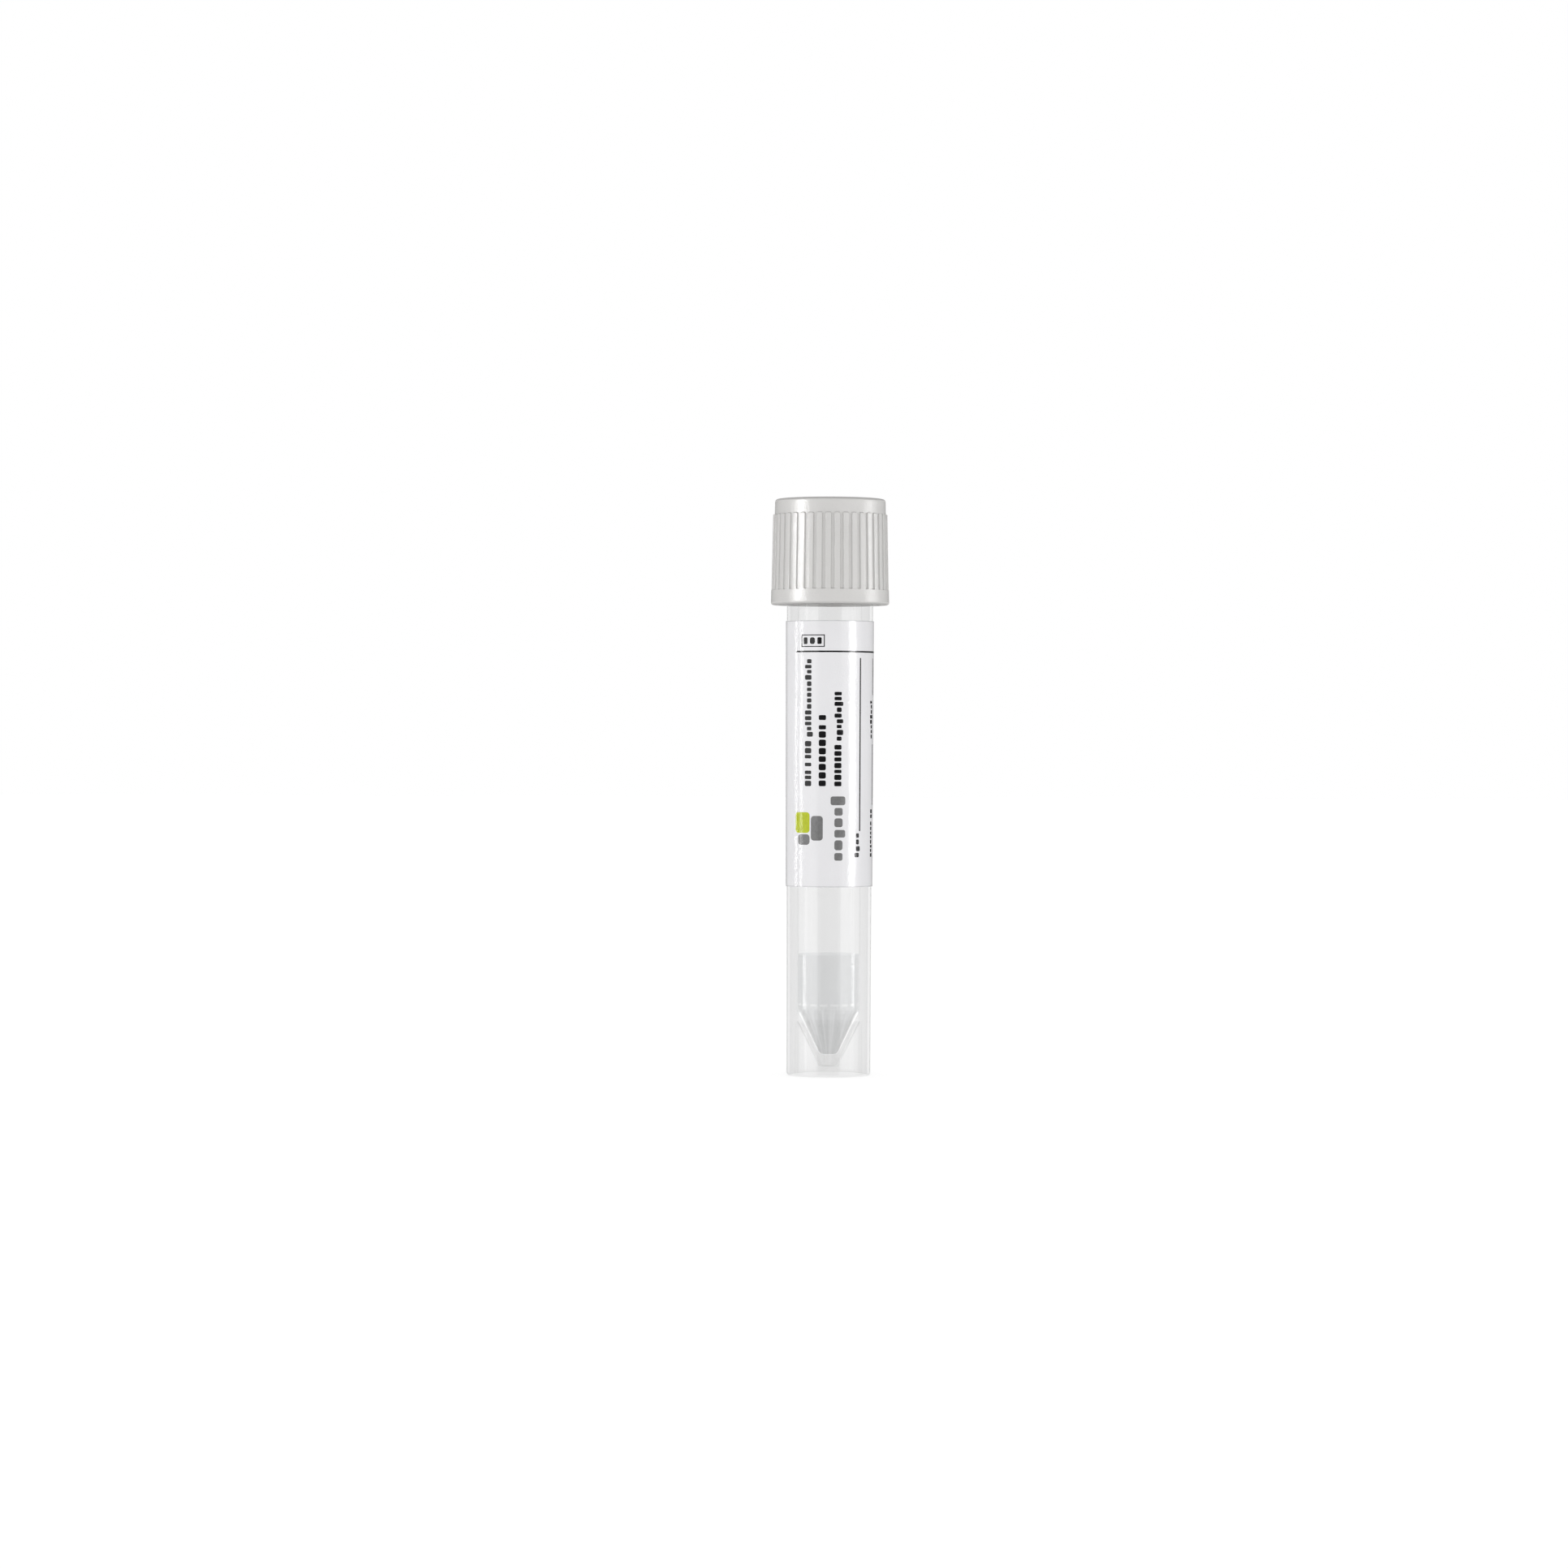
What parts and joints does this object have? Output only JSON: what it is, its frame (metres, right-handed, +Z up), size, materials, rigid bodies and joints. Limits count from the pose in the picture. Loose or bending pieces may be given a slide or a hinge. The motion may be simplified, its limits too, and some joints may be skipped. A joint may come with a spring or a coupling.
{
  "type": "specimen swab tube",
  "caption": "Self-standing round tube with a conical bottom inside an open skirt, a ribbed screw cap with plug and stick socket, a sealing ring, a wrapped label and liquid medium.",
  "frame": {"origin": "on the tube's axis, in the plane the skirt's foot stands on", "axes": "+Z up the tube's axis towards the cap; the label's printed side faces -Y and its open strip faces +Y"},
  "size_m": [0.0164, 0.0164, 0.08],
  "materials": {
    "tube": "clear moulded, glossy",
    "cap": "warm light grey, fine grain",
    "seal": "matte",
    "label": "satin film, printed",
    "medium": "clear liquid, faintly grey-green"
  },
  "bodies": {
    "tube": {"tube": "tube", "label": "label", "transport_medium": "medium"},
    "seal": {"seal_ring": "seal"},
    "cap": {"screw_cap": "cap"}
  },
  "joints": [
    {"name": "cap_lift", "type": "slide", "parent": "tube", "child": "seal", "axis": [0, 0, 1], "range_m": [0, 0.015]},
    {"name": "cap_turn", "type": "hinge", "parent": "seal", "child": "cap", "pos_m": [0, 0, 0.0653], "axis": [0, 0, 1], "range_deg": [0, 1080]}
  ],
  "couplings": [
    {"joint": "cap_lift", "follows": "cap_turn", "m_per_rad": 0.00079577}
  ]
}
